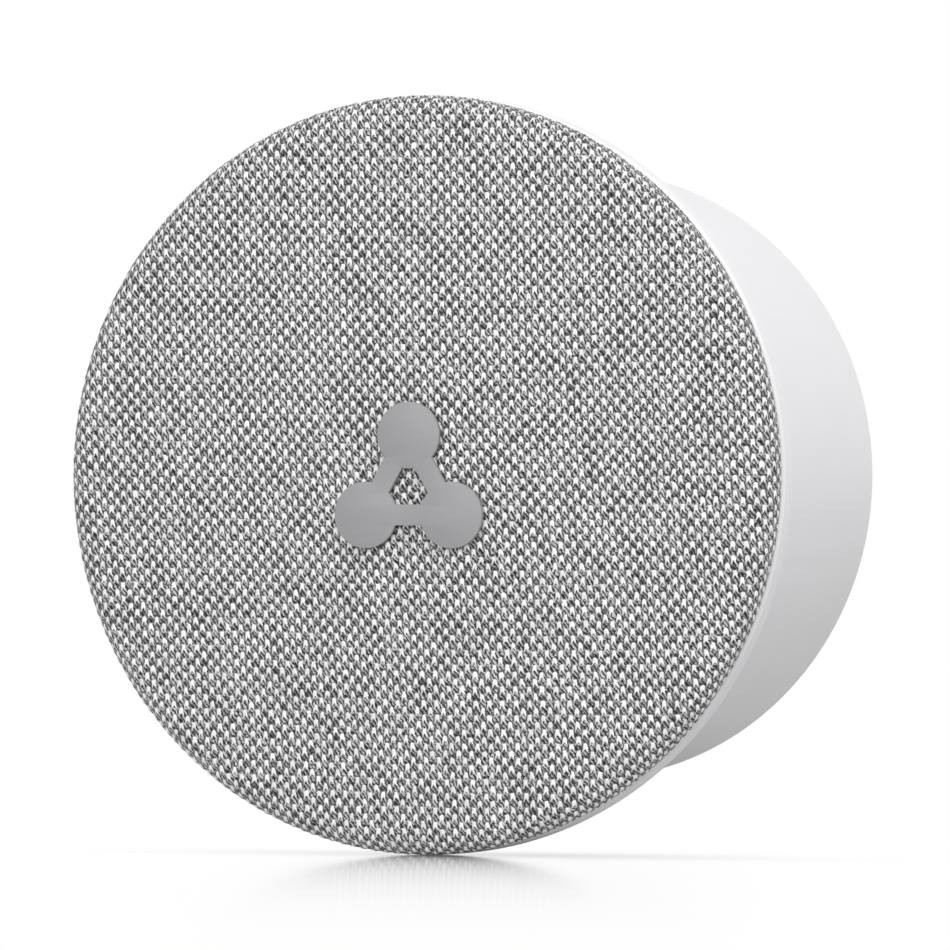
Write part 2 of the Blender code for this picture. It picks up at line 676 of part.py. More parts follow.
def capacitor(name, radius, length, at, finish, turn=(0.0, 0.0, 0.0)):
    """An electrolytic can with a crimped foot, from z = 0 to its length; a lying one runs along +y."""
    if turn == ALONG_Y:
        at = (at[0], at[1] + length, at[2])
    crimp = 0.35
    profile = [
        (0.0, length),
        (radius - crimp, length),
        (radius, length - crimp),
        (radius, 2.2),
        (radius - crimp, 1.8),
        (radius, 1.4),
        (radius, 0.0),
        (0.0, 0.0),
    ]
    return turned(name, profile, finish, 16, at=at, turn=turn)


def rating_label():
    slab("rating_label", LABEL, 0.1, 0.3, grey_plastic, at=(0.0, LABEL_Y))


def housing_screws():
    head_height = 2.2
    for index, angle in enumerate(POST_ANGLES, 1):
        seat = (*polar(POST_R, angle), HEAD_SEAT - GAP - head_height)
        screw_part(f"housing_screw_{index}", seat, 2.4, 1.3, head_height, 13.5)


clear_scene()
parts = new_collection("mesh_wifi_node")
tools = new_collection("cutting_tools")
device_axis = bpy.data.objects.new("device_axis", None)
device_axis.rotation_euler = (math.radians(90.0), 0.0, 0.0)
parts.objects.link(device_axis)

cloth = material("knit_cloth", 165, 165, 166, 0.95)
white_plastic = material("white_plastic", 236, 236, 238, 0.42)
grey_plastic = material("grey_plastic", 190, 190, 192, 0.5)
badge_grey = material("badge_grey", 161, 161, 163, 0.4)
dark_plastic = material("dark_plastic", 40, 40, 42, 0.55)
black_plastic = material("black_plastic", 28, 28, 30, 0.5)
cream_plastic = material("cream_plastic", 232, 228, 214, 0.5)
clear_plastic = material("clear_plastic", 225, 232, 236, 0.15)
nickel = material("nickel_plate", 205, 203, 196, 0.25, 1.0)
steel = material("zinc_steel", 190, 192, 196, 0.35, 1.0)
black_steel = material("black_steel", 34, 34, 36, 0.45, 0.6)
tin = material("tin_plate", 200, 202, 205, 0.3, 1.0)
brass = material("gold_contact", 214, 178, 92, 0.3, 1.0)
copper = material("copper_wire", 184, 104, 62, 0.35, 1.0)
ferrite = material("ferrite", 52, 52, 56, 0.6)
foam = material("foam_gasket", 48, 48, 50, 0.95)
paper = material("paper_pulp", 44, 44, 46, 0.9)
rubber = material("butyl_rubber", 30, 30, 31, 0.7)
fibre = material("resin_fibre", 196, 150, 84, 0.85)
board_green = material("main_board_mask", 22, 84, 54, 0.4)
board_tan = material("mains_board_paper", 176, 132, 78, 0.6)
fish_paper = material("insulating_paper", 214, 206, 184, 0.8)
yellow_tape = material("polyester_tape", 226, 190, 52, 0.35)
flex_gold = material("flex_film", 196, 132, 48, 0.4)
red_wire = material("red_wire", 176, 34, 30, 0.5)
black_wire = material("black_wire", 30, 30, 32, 0.5)
can_black = material("capacitor_sleeve", 30, 34, 46, 0.35)
glass_clear = material("fuse_glass", 214, 220, 218, 0.1)
blue_ceramic = material("blue_ceramic", 42, 92, 164, 0.4)

fabric_cover()
grille_plate()
front_frame()
rear_housing()
emblem()
plug()
rating_label()
housing_screws()
reset_button()
speaker_frame()
speaker_motor()
diaphragm()
speaker_wiring()
main_board()
antennas()
insulation()
mains_board()
mains_parts()
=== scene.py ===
"""Looks of the mesh wifi node: knitted front, white mouldings, badge, plug and inner parts.

Lengths are in metres in the CAD's own frame; MM turns a named millimetre value into metres. Turned pieces
are built in the device frame, x right, y up and h forward from the wall face, and then laid along -Y.
"""

import json
import math

import bmesh
import bpy
import numpy as np
from mathutils import Matrix, Vector


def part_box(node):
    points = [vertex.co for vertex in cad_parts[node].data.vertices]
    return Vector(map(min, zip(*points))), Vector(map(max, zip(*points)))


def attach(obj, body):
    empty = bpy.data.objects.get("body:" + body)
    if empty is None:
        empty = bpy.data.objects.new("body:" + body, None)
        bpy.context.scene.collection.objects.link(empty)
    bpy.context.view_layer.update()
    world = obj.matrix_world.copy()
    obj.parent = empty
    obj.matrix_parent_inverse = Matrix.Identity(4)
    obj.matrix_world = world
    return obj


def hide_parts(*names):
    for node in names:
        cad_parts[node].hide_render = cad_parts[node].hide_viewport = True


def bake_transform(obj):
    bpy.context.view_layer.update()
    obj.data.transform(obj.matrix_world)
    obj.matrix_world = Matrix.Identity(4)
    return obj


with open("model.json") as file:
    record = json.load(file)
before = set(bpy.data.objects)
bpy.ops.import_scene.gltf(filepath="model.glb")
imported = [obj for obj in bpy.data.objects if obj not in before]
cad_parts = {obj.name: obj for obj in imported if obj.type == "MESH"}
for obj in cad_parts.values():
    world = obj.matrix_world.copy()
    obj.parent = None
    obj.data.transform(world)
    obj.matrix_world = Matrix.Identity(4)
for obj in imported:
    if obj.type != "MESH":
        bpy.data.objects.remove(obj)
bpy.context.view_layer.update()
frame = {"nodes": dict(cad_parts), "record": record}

MM = 0.001
DEVICE = Matrix.Rotation(math.radians(90.0), 4, "X")  # device frame (x, y, h) to world (x, -h, y)


def extent(node):
    """A CAD node's box in the device frame, in millimetres: (x, y, h) lowest and highest."""
    low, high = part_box(node)
    return (
        Vector((low.x, low.z, -high.y)) / MM,
        Vector((high.x, high.z, -low.y)) / MM,
    )


CLOTH_LOW, CLOTH_HIGH = extent("fabric_cover")
RIM_LOW, RIM_HIGH = extent("front_frame")
HOUSING_LOW, HOUSING_HIGH = extent("rear_housing")
GAP = 0.3

# Cloth section: a shallow dome, a rolled edge and a hem tucked behind it
CLOTH_R = CLOTH_HIGH.x
DOME_TOP = CLOTH_HIGH.z
HEM_H = CLOTH_LOW.z
DOME_SAG = 0.95
ROLL = 2.5
WIDEST_H = 48.0
CURL = 0.5
CURL_H = 47.2
CLOTH_CUT_R = 44.0  # radius of the flat cloth that shows and tucks in

# Knit: white and marled stitches in a chequer
STITCH_X = 1.48
STITCH_Y = 1.50
CELLS = 6  # mesh cells to a stitch pitch
RELIEF = 0.09
LEAN = 0.05
HEAD_AT = 0.2  # a stitch's head above its cell's middle, in stitch pitches
SPLAY = 0.46
PLIES = 3.0  # plies of the marled yarn across a stitch pitch
PLY_SLOPE = 0.7

# Rim and housing
RIM_R = RIM_HIGH.x
RIM_FRONT = RIM_HIGH.z
RIM_BACK = 44.0
BAFFLE_FRONT = 45.8
HOUSING_R = HOUSING_HIGH.x
HOUSING_FRONT = HOUSING_HIGH.z
WALL = 2.0
REAR_WALL = 2.4
INNER_R = HOUSING_R - WALL
OPENING_R = 18.0
POST_R = 26.0
POST_ANGLES = (90.0, 210.0, 330.0)
POST_END = 12.3
BOARD_POST_R = 25.5
BOARD_POST_ANGLES = (30.0, 150.0, 297.0)
BOARD_POST_END = 21.8
EAR_R = 23.5
SIDE_ANGLES = (0.0, 120.0, 240.0)
LIGHT_R = 25.5
BUTTON_H = 18.2
HEAD_SEAT = 8.9

BADGE_BAR = 2.2

LARGE_STEPS = 256
SMALL_STEPS = 48


# ---------------------------------------------------------------- mesh helpers


def polar(radius, degrees):
    angle = math.radians(degrees)
    return radius * math.cos(angle), radius * math.sin(angle)


def arc(centre, radii, start, end, count):
    """Points (r, h) on an ellipse between two angles in degrees, both ends included."""
    points = []
    for step in range(count + 1):
        x, y = polar(1.0, start + (end - start) * step / count)
        points.append((centre[0] + radii[0] * x, centre[1] + radii[1] * y))
    return points


def place(name, mesh, at=(0.0, 0.0, 0.0), turn=None):
    """Put a mesh in the world from a place, and a turn if it has one, in the device frame."""
    obj = bpy.data.objects.new(name, mesh)
    bpy.context.scene.collection.objects.link(obj)
    spot = Matrix.Translation(Vector(at) * MM)
    obj.matrix_world = DEVICE @ spot @ (turn or Matrix.Identity(4))
    return obj


def turned(name, profile, steps=LARGE_STEPS, ring=False, at=(0.0, 0.0, 0.0), turn=None):
    """Turn a profile of (r, h) points, which runs down its outer side, about the local z axis."""
    mesh = bpy.data.meshes.new(name)
    edges = [(i, i + 1) for i in range(len(profile) - 1)]
    if ring:
        edges.append((len(profile) - 1, 0))
    mesh.from_pydata([(r * MM, 0.0, h * MM) for r, h in profile], edges, [])
    obj = place(name, mesh, at, turn)
    screw = obj.modifiers.new("Turn", "SCREW")
    screw.axis = "Z"
    screw.steps = steps
    screw.render_steps = steps
    screw.use_merge_vertices = True
    screw.merge_threshold = 0.005 * MM
    return obj


def rod(name, radius, low, high, steps=SMALL_STEPS, at=(0.0, 0.0, 0.0), turn=None):
    return turned(name, [(0.0, high), (radius, high), (radius, low), (0.0, low)], steps, at=at, turn=turn)


def box(name, size, centre, spin=0.0):
    bm = bmesh.new()
    bmesh.ops.create_cube(bm, size=1.0, matrix=Matrix.Diagonal(Vector(size) * MM).to_4x4())
    mesh = bpy.data.meshes.new(name)
    bm.to_mesh(mesh)
    bm.free()
    return place(name, mesh, centre, Matrix.Rotation(math.radians(spin), 4, "Z"))


def slab(name, size, low, high, at=(0.0, 0.0), spin=0.0):
    """A box given by its (x, y) size and the heights of its two faces."""
    return box(name, (*size, high - low), (*at, (low + high) / 2), spin)


def combine(obj, tool, operation, solver="EXACT"):
    step = obj.modifiers.new(operation.title(), "BOOLEAN")
    step.operation = operation
    step.solver = solver
    step.object = tool
    tool.hide_render = True
    tools.append(tool)


def cut(obj, *cutters, solver="EXACT"):
    for tool in cutters:
        combine(obj, tool, "DIFFERENCE", solver)


def join(obj, *others, solver="EXACT"):
    for tool in others:
        combine(obj, tool, "UNION", solver)


def round_edges(obj, width, segments=2, angle=35.0):
    bevel = obj.modifiers.new("Round", "BEVEL")
    bevel.width = width * MM
    bevel.segments = segments
    bevel.limit_method = "ANGLE"
    bevel.angle_limit = math.radians(angle)
    bevel.use_clamp_overlap = True
    return obj


def settle(obj, smooth_below=32.0):
    """Apply an object's modifiers, remove its cutters and shade it smooth between its sharp edges."""
    graph = bpy.context.evaluated_depsgraph_get()
    mesh = bpy.data.meshes.new_from_object(obj.evaluated_get(graph))
    obj.modifiers.clear()
    obj.data = mesh
    mesh.shade_smooth()
    mesh.set_sharp_from_angle(angle=math.radians(smooth_below))
    while tools:
        bpy.data.objects.remove(tools.pop())
    return obj


def show(obj, node, finish, body="root"):
    """A finished piece that stands for a CAD node."""
    obj.data.materials.clear()
    obj.data.materials.append(finish)
    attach(obj, body)
    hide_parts(node)
    return obj


tools = []


# ------------------------------------------------------------ material helpers


def linear(value):
    value /= 255.0
    return value / 12.92 if value <= 0.04045 else ((value + 0.055) / 1.055) ** 2.4


def colour(red, green, blue):
    """Display values from 0 to 255 as linear light."""
    return (linear(red), linear(green), linear(blue), 1.0)


def grey(value):
    return colour(value, value, value)


class Graph:
    """A small builder of shader nodes: each call adds a node and returns its output."""

    def __init__(self, tree):
        self.tree = tree

    def node(self, kind, inputs=None, output=0, **settings):
        made = self.tree.nodes.new(kind)
        for key, value in settings.items():
            setattr(made, key, value)
        for key, value in (inputs or {}).items():
            self.feed(made.inputs[key], value)
        return made.outputs[output]

    def feed(self, socket, value):
        if isinstance(value, bpy.types.NodeSocket):
            self.tree.links.new(value, socket)
        else:
            socket.default_value = value

    def math(self, operation, *values, clamp=False):
        return self.node("ShaderNodeMath", dict(enumerate(values)), operation=operation, use_clamp=clamp)

    def ramp(self, value, low, high, start=0.0, end=1.0):
        """value mapped smoothly from low..high to start..end."""
        inputs = {"Value": value, "From Min": low, "From Max": high, "To Min": start, "To Max": end}
        return self.node("ShaderNodeMapRange", inputs, interpolation_type="SMOOTHSTEP")

    def mix(self, share, first, second, blend="MIX"):
        made = self.tree.nodes.new("ShaderNodeMix")
        made.data_type = "RGBA"
        made.blend_type = blend
        made.clamp_factor = True
        for socket, value in ((made.inputs[0], share), (made.inputs[6], first), (made.inputs[7], second)):
            self.feed(socket, value)
        return made.outputs[2]

    def noise(self, place_at, size, detail=2.0, roughness=0.5):
        """Noise with features about size millimetres across."""
        inputs = {"Vector": place_at, "Scale": 1.0 / (size * MM), "Detail": detail, "Roughness": roughness}
        return self.node("ShaderNodeTexNoise", inputs)

    def object_place(self):
        return self.node("ShaderNodeTexCoord", output="Object")

    def stretch(self, vector, scale):
        return self.node("ShaderNodeMapping", {"Vector": vector, "Scale": scale})

    def bump(self, height, depth, strength=1.0, under=None):
        """Surface relief of depth millimetres for a height from 0 to 1."""
        inputs = {"Height": height, "Distance": depth * MM, "Strength": strength}
        if under is not None:
            inputs["Normal"] = under
        return self.node("ShaderNodeBump", inputs)


def new_material(name):
    made = bpy.data.materials.new(name)
    made.use_nodes = True
    graph = Graph(made.node_tree)
    return made, graph, made.node_tree.nodes["Principled BSDF"]


def moulded(name, tint, roughness=0.45, grain=0.25, depth=0.006, mottle=0.03, coat=0.0):
    """Moulded plastic: a fine spark-eroded grain, faint cloudiness and a little uneven gloss."""
    made, graph, shader = new_material(name)
    where = graph.object_place()
    cloud = graph.noise(where, 14.0, 3.0)
    darker = tuple(channel * (1.0 - mottle) for channel in tint[:3]) + (1.0,)
    graph.feed(shader.inputs["Base Color"], graph.mix(cloud, tint, darker))
    fine = graph.noise(where, grain, 2.0)
    uneven = graph.noise(where, 5.0, 2.0)
    gloss = graph.ramp(uneven, 0.3, 0.7, roughness - 0.03, roughness + 0.03)
    graph.feed(shader.inputs["Roughness"], gloss)
    graph.feed(shader.inputs["Normal"], graph.bump(fine, depth, 0.35))
    shader.inputs["Coat Weight"].default_value = coat
    return made


def metal(name, tint, roughness=0.3, along=(1.0, 1.0, 12.0), depth=0.003):
    """Plated or rolled metal, with fine scratches along one axis."""
    made, graph, shader = new_material(name)
    where = graph.object_place()
    scratches = graph.noise(graph.stretch(where, along), 0.5, 3.0, 0.6)
    stain = graph.noise(where, 4.0, 3.0)
    duller = tuple(channel * 0.86 for channel in tint[:3]) + (1.0,)
    graph.feed(shader.inputs["Base Color"], graph.mix(stain, tint, duller))
    graph.feed(shader.inputs["Roughness"], graph.ramp(scratches, 0.3, 0.7, roughness - 0.06, roughness + 0.08))
    graph.feed(shader.inputs["Normal"], graph.bump(scratches, depth, 0.4))
    shader.inputs["Metallic"].default_value = 1.0
    return made


def fibrous(name, tint, size=0.4, roughness=0.9, depth=0.05, contrast=0.35):
    """Pressed fibre, paper or foam: matted flecks of two tones."""
    made, graph, shader = new_material(name)
    where = graph.object_place()
    flecks = graph.noise(graph.stretch(where, (1.0, 1.0, 2.2)), size, 4.0, 0.65)
    paler = tuple(min(1.0, channel * (1.0 + contrast) + 0.01) for channel in tint[:3]) + (1.0,)
    graph.feed(shader.inputs["Base Color"], graph.mix(graph.ramp(flecks, 0.35, 0.65), tint, paler))
    graph.feed(shader.inputs["Normal"], graph.bump(flecks, depth, 0.6))
    shader.inputs["Roughness"].default_value = roughness
    return made


def circuit(name, mask, track, pitch=1.6):
    """A circuit board: solder mask with raised tracks in a broken grid, and pads."""
    made, graph, shader = new_material(name)
    where = graph.stretch(graph.object_place(), (1.0, 0.0, 1.0))
    cells = {"Vector": where, "Scale": 1.0 / (pitch * MM)}
    edges = graph.node(
        "ShaderNodeTexVoronoi", cells, "Distance", feature="F1", distance="CHEBYCHEV", voronoi_dimensions="3D"
    )
    tracks = graph.math("MULTIPLY", graph.ramp(edges, 0.3, 0.36), graph.ramp(edges, 0.5, 0.44))
    pads = graph.ramp(edges, 0.12, 0.08)
    base = graph.mix(tracks, mask, track)
    graph.feed(shader.inputs["Base Color"], graph.mix(pads, base, colour(206, 204, 196)))
    graph.feed(shader.inputs["Normal"], graph.bump(tracks, 0.035, 0.6))
    shader.inputs["Roughness"].default_value = 0.38
    return made


def wound(name, tint, pitch=0.32, roughness=0.35, metallic=0.8):
    """Enamelled wire wound in close turns, with painted shade in the grooves between them."""
    made, graph, shader = new_material(name)
    where = graph.object_place()
    inputs = {"Vector": where, "Scale": 1.0 / (pitch * MM) / 3.14, "Distortion": 0.6}
    turns = graph.node("ShaderNodeTexWave", inputs, "Fac", wave_type="BANDS", bands_direction="Y")
    # Painted shade: the grooves between turns are darkened to a third of the wire's colour.
    groove_shade = tuple(channel * 0.35 for channel in tint[:3]) + (1.0,)
    graph.feed(shader.inputs["Base Color"], graph.mix(turns, groove_shade, tint))
    graph.feed(shader.inputs["Normal"], graph.bump(turns, 0.1, 0.7))
    shader.inputs["Roughness"].default_value = roughness
    shader.inputs["Metallic"].default_value = metallic
    return made


def clear(name, tint, roughness=0.08):
    made, graph, shader = new_material(name)
    where = graph.object_place()
    smear = graph.noise(where, 2.0, 3.0)
    graph.feed(shader.inputs["Roughness"], graph.ramp(smear, 0.3, 0.7, roughness, roughness + 0.08))
    graph.feed(shader.inputs["Base Color"], graph.mix(smear, tint, colour(250, 252, 252)))
    shader.inputs["Transmission Weight"].default_value = 0.85
    shader.inputs["IOR"].default_value = 1.49
    return made


# -------------------------------------------------------------- knit material


def stitch_group():
    """One family of inverted-V stitches on the unit lattice: its cover, its height and a number per stitch."""
    tree = bpy.data.node_groups.new("stitch", "ShaderNodeTree")
    tree.interface.new_socket("Cloth", in_out="INPUT", socket_type="NodeSocketVector")
    for key in ("Leg", "Head", "Reach"):
        tree.interface.new_socket(key, in_out="INPUT", socket_type="NodeSocketFloat")
    for key in ("Cover", "Height", "Number"):
        tree.interface.new_socket(key, in_out="OUTPUT", socket_type="NodeSocketFloat")
    entry = tree.nodes.new("NodeGroupInput")
    leave = tree.nodes.new("NodeGroupOutput")
    graph = Graph(tree)
    split = tree.nodes.new("ShaderNodeSeparateXYZ")
    tree.links.new(entry.outputs["Cloth"], split.inputs[0])
    u = graph.math("ADD", split.outputs[0], 0.5)
    v = graph.math("ADD", split.outputs[1], 0.5)
    column = graph.math("FLOOR", u)
    row = graph.math("FLOOR", v)
    across = graph.math("ABSOLUTE", graph.math("SUBTRACT", graph.math("SUBTRACT", u, column), 0.5))
    up = graph.math("SUBTRACT", graph.math("SUBTRACT", v, row), 0.5)
    drop = graph.math("SUBTRACT", HEAD_AT, up)
    line = graph.math("MULTIPLY", graph.math("MAXIMUM", graph.math("SUBTRACT", drop, 0.04), 0.0), SPLAY)
    off = graph.math("ABSOLUTE", graph.math("SUBTRACT", across, line))
    above = graph.math("MAXIMUM", graph.math("SUBTRACT", up, HEAD_AT), 0.0)
    away = graph.math("SQRT", graph.math("ADD", graph.math("POWER", off, 2.0), graph.math("POWER", above, 2.0)))
    thinning = graph.math("SUBTRACT", entry.outputs["Leg"], entry.outputs["Head"])
    width = graph.math("ADD", entry.outputs["Head"], graph.math("MULTIPLY", graph.ramp(drop, 0.05, 0.33), thinning))
    share = graph.math("DIVIDE", away, width)
    ends = graph.ramp(drop, entry.outputs["Reach"], graph.math("MULTIPLY", entry.outputs["Reach"], 0.45))
    cover = graph.math("MULTIPLY", graph.ramp(share, 1.25, 0.7), ends)
    dome = graph.math("SUBTRACT", 1.0, graph.math("POWER", graph.math("MINIMUM", share, 1.0), 2.0))
    height = graph.math("MULTIPLY", graph.math("SQRT", dome), graph.math("MULTIPLY_ADD", ends, 0.5, 0.5))
    cell = graph.node("ShaderNodeCombineXYZ", {0: column, 1: row, 2: entry.outputs["Leg"]})
    number = graph.node("ShaderNodeTexWhiteNoise", {"Vector": cell}, "Value", noise_dimensions="3D")
    for key, value in (("Cover", cover), ("Height", height), ("Number", number)):
        tree.links.new(value, leave.inputs[key])
    return tree


def knit_material():
    """White inverted-V stitches over marled ones, on the cloth's own flat coordinates in stitch pitches."""
    made, graph, shader = new_material("knit_cloth")
    group = stitch_group()
    cloth = graph.node("ShaderNodeUVMap", uv_map="cloth")
    for scale, reach in ((1.1, 0.26), (4.5, 0.16)):
        wobble = graph.node("ShaderNodeTexNoise", {"Vector": cloth, "Scale": scale, "Detail": 2.0}, "Color")
        centred = graph.node("ShaderNodeVectorMath", {0: wobble, 1: (0.5, 0.5, 0.5)}, operation="SUBTRACT")
        shift = graph.node("ShaderNodeVectorMath", {0: centred, 1: (reach, reach, 0.0)}, operation="MULTIPLY")
        cloth = graph.node("ShaderNodeVectorMath", {0: cloth, 1: shift}, operation="ADD")

    def family(offset, head, leg, reach):
        moved = graph.node("ShaderNodeVectorMath", {0: cloth, 1: (*offset, 0.0)}, operation="ADD")
        node = graph.tree.nodes.new("ShaderNodeGroup")
        node.node_tree = group
        graph.feed(node.inputs["Cloth"], moved)
        for key, value in (("Head", head), ("Leg", leg), ("Reach", reach)):
            node.inputs[key].default_value = value
        return node

    whites = [family(offset, 0.155, 0.062, 0.6) for offset in ((0.0, 0.0), (0.5, 0.5))]
    marls = [family(offset, 0.15, 0.085, 1.0) for offset in ((0.5, 0.0), (0.0, 0.5))]
    split = graph.tree.nodes.new("ShaderNodeSeparateXYZ")
    graph.feed(split.inputs[0], cloth)
    fibre = graph.node("ShaderNodeTexNoise", {"Vector": cloth, "Scale": 14.0, "Detail": 3.0})
    blotch = graph.node("ShaderNodeTexNoise", {"Vector": cloth, "Scale": 3.4, "Detail": 2.0})

    diagonal = graph.math("ADD", split.outputs[0], graph.math("MULTIPLY", split.outputs[1], PLY_SLOPE))
    stray = graph.math("MULTIPLY_ADD", fibre, 0.16, graph.math("MULTIPLY", blotch, 0.4))
    bent = graph.math("ADD", diagonal, stray)
    plies = graph.math("SINE", graph.math("MULTIPLY", bent, 2.0 * math.pi * PLIES))
    ply = graph.ramp(plies, -0.6, 0.35)

    strands = graph.mix(ply, grey(68), grey(204))
    marl = graph.mix(graph.ramp(blotch, 0.56, 0.4), strands, graph.mix(ply, grey(22), grey(112)))
    # Painted shade: where no stitch covers the cloth, the marl is darkened towards grey(50) in the gaps between
    # stitches.
    tone = graph.mix(0.7, marl, grey(50))
    for node in marls:
        darkened = graph.mix(graph.ramp(node.outputs["Number"], 0.5, 0.95, 0.0, 0.5), marl, grey(34))
        tone = graph.mix(node.outputs["Cover"], tone, darkened)
    for node in whites:
        lit = graph.mix(graph.ramp(node.outputs["Number"], 0.2, 1.0, 0.0, 0.4), grey(250), grey(200))
        streaked = graph.mix(graph.ramp(fibre, 0.46, 0.72, 0.0, 0.4), lit, grey(176))
        tone = graph.mix(node.outputs["Cover"], tone, streaked)
    graph.feed(shader.inputs["Base Color"], tone)

    def tallest(nodes, scale):
        high = graph.math("MAXIMUM", nodes[0].outputs["Height"], nodes[1].outputs["Height"])
        return graph.math("MULTIPLY", high, scale)

    height = graph.math("MAXIMUM", tallest(whites, 1.0), tallest(marls, 0.6))
    height = graph.math("ADD", height, graph.math("MULTIPLY", ply, 0.12))
    height = graph.math("ADD", height, graph.math("MULTIPLY", fibre, 0.15))
    graph.feed(shader.inputs["Normal"], graph.bump(height, 0.22, 0.6))
    shader.inputs["Roughness"].default_value = 0.92
    shader.inputs["Sheen Weight"].default_value = 0.25
    shader.inputs["Sheen Roughness"].default_value = 0.5
    shader.inputs["Specular IOR Level"].default_value = 0.2
    return made


# ------------------------------------------------------------------- the cloth


def cloth_section():
    """The cloth's outer section as (distance along the cloth, r, h), from the centre to the hem."""
    edge_r = CLOTH_R - ROLL
    edge_h = DOME_TOP - DOME_SAG
    share = np.linspace(0.0, 1.0, 200)
    points = [np.stack([edge_r * share, DOME_TOP - DOME_SAG * share**2], axis=1)]
    points.append(np.array(arc((edge_r, WIDEST_H), (ROLL, edge_h - WIDEST_H), 90.0, 0.0, 60))[1:])
    points.append(np.array(arc((CLOTH_R - CURL, CURL_H), (CURL, CURL_H - HEM_H), 0.0, -90.0, 40)))
    points.append(np.array([(CLOTH_R - CURL - ROLL, HEM_H)]))
    points = np.concatenate(points)
    steps = np.linalg.norm(np.diff(points, axis=0), axis=1)
    return np.concatenate([[0.0], np.cumsum(steps)]), points


def knitted_front(finish):
    """A flat grid of stitch-aligned cells, cut round, wrapped over the dome and its edge, with stitch relief."""
    step_x = STITCH_X / CELLS
    step_y = STITCH_Y / CELLS
    count_x = int(CLOTH_CUT_R / step_x) + 1
    count_y = int(CLOTH_CUT_R / step_y) + 1
    column, row = np.meshgrid(np.arange(-count_x, count_x + 1), np.arange(-count_y, count_y + 1), indexing="ij")
    s = column * step_x
    t = row * step_y
    index = np.arange(s.size).reshape(s.shape)
    corners = np.stack([index[:-1, :-1], index[1:, :-1], index[1:, 1:], index[:-1, 1:]], axis=-1).reshape(-1, 4)
    middle_s = (s[:-1, :-1] + step_x / 2).ravel()
    middle_t = (t[:-1, :-1] + step_y / 2).ravel()
    quads = corners[np.hypot(middle_s, middle_t) < CLOTH_CUT_R - step_y / 2]
    used, quads = np.unique(quads, return_inverse=True)
    quads = quads.reshape(-1, 4)
    s = s.ravel()[used]
    t = t.ravel()[used]
    uses = np.bincount(quads.ravel(), minlength=len(used))
    reach = np.hypot(s, t)
    border = (uses < 4) & (reach > CLOTH_CUT_R - 2.0)
    pull = np.where(border, CLOTH_CUT_R / np.maximum(reach, 1e-6), 1.0)
    s = s * pull
    t = t * pull
    reach = np.hypot(s, t)

    wave = 0.22 * np.sin(t * 0.11 + 0.6) + 0.12 * np.sin(s * 0.17 + t * 0.05 + 2.0)
    rise = 0.15 * np.sin(s * 0.09 + 1.1) + 0.1 * np.sin(t * 0.14 - s * 0.06)
    u = (s + LEAN * t + wave) / STITCH_X
    v = (t + rise) / STITCH_Y

    along, section = cloth_section()
    r = np.interp(reach, along, section[:, 0])
    h = np.interp(reach, along, section[:, 1])
    ahead_r = np.interp(reach + 0.05, along, section[:, 0]) - r
    ahead_h = np.interp(reach + 0.05, along, section[:, 1]) - h
    length = np.maximum(np.hypot(ahead_r, ahead_h), 1e-6)
    out_r = -ahead_h / length
    out_h = ahead_r / length
    relief = RELIEF * np.cos(2.0 * math.pi * u) * np.cos(2.0 * math.pi * v)
    relief = relief * np.clip((CLOTH_CUT_R - 0.6 - reach) / 1.0, 0.0, 1.0)
    r = r + relief * out_r
    h = h + relief * out_h
    safe = np.maximum(reach, 1e-9)
    x = r * s / safe
    y = r * t / safe
    places = np.stack([x, -h, y], axis=1) * MM

    mesh = bpy.data.meshes.new("knit_front")
    mesh.vertices.add(len(places))
    mesh.vertices.foreach_set("co", places.astype(np.float32).ravel())
    mesh.loops.add(quads.size)
    mesh.loops.foreach_set("vertex_index", quads.ravel().astype(np.int32))
    mesh.polygons.add(len(quads))
    mesh.polygons.foreach_set("loop_start", np.arange(0, quads.size, 4, dtype=np.int32))
    mesh.update()
    layer = mesh.uv_layers.new(name="cloth")
    flat = np.stack([u[quads.ravel()], v[quads.ravel()]], axis=1)
    layer.data.foreach_set("uv", flat.astype(np.float32).ravel())
    mesh.validate()
    mesh.shade_smooth()
    obj = bpy.data.objects.new("knit_front", mesh)
    bpy.context.scene.collection.objects.link(obj)
    show(obj, "fabric_cover", finish)
    return obj


# -------------------------------------------------------------- white mouldings


def rim(finish):
    """The white rim and the baffle behind it, with its posts and locating ring."""
    chamfer = 0.3
    back_edge = 0.1
    lip = (38.6, RIM_R - chamfer)
    spigot = (29.0, INNER_R - 0.35)
    profile = [
        (lip[0], RIM_FRONT),
        (lip[1], RIM_FRONT),
        (RIM_R, RIM_FRONT - chamfer),
        (RIM_R, RIM_BACK + back_edge),
        (RIM_R - back_edge, RIM_BACK),
        (spigot[1], RIM_BACK),
        (spigot[1], RIM_BACK - 2.5),
        (spigot[0], RIM_BACK - 2.5),
        (spigot[0], RIM_BACK),
        (OPENING_R, RIM_BACK),
        (OPENING_R, BAFFLE_FRONT),
        (lip[0], BAFFLE_FRONT),
    ]
    obj = turned("rim_and_baffle", profile, ring=True)
    inside = (RIM_BACK + BAFFLE_FRONT) / 2
    posts = [(POST_R, angle, 3.5, POST_END, 1.6, 10.0) for angle in POST_ANGLES]
    posts += [(BOARD_POST_R, angle, 2.5, BOARD_POST_END, 1.2, 7.0) for angle in BOARD_POST_ANGLES]
    for reach, angle, radius, end, _, _ in posts:
        join(obj, rod("post", radius, end, inside, at=(*polar(reach, angle), 0.0)))
    for reach, angle, _, end, pilot, depth in posts:
        cut(obj, rod("pilot", pilot, end - 1.0, end + depth, at=(*polar(reach, angle), 0.0)))
    for angle in SIDE_ANGLES:
        cut(obj, rod("speaker_pilot", 1.2, RIM_BACK - 1.0, BAFFLE_FRONT + 1.0, at=(*polar(EAR_R, angle), 0.0)))
    cut(obj, rod("light_hole", 1.5, RIM_BACK - 1.0, BAFFLE_FRONT + 1.0, at=(0.0, -LIGHT_R, 0.0)))
    round_edges(obj, 0.07)
    return show(settle(obj), "front_frame", finish)


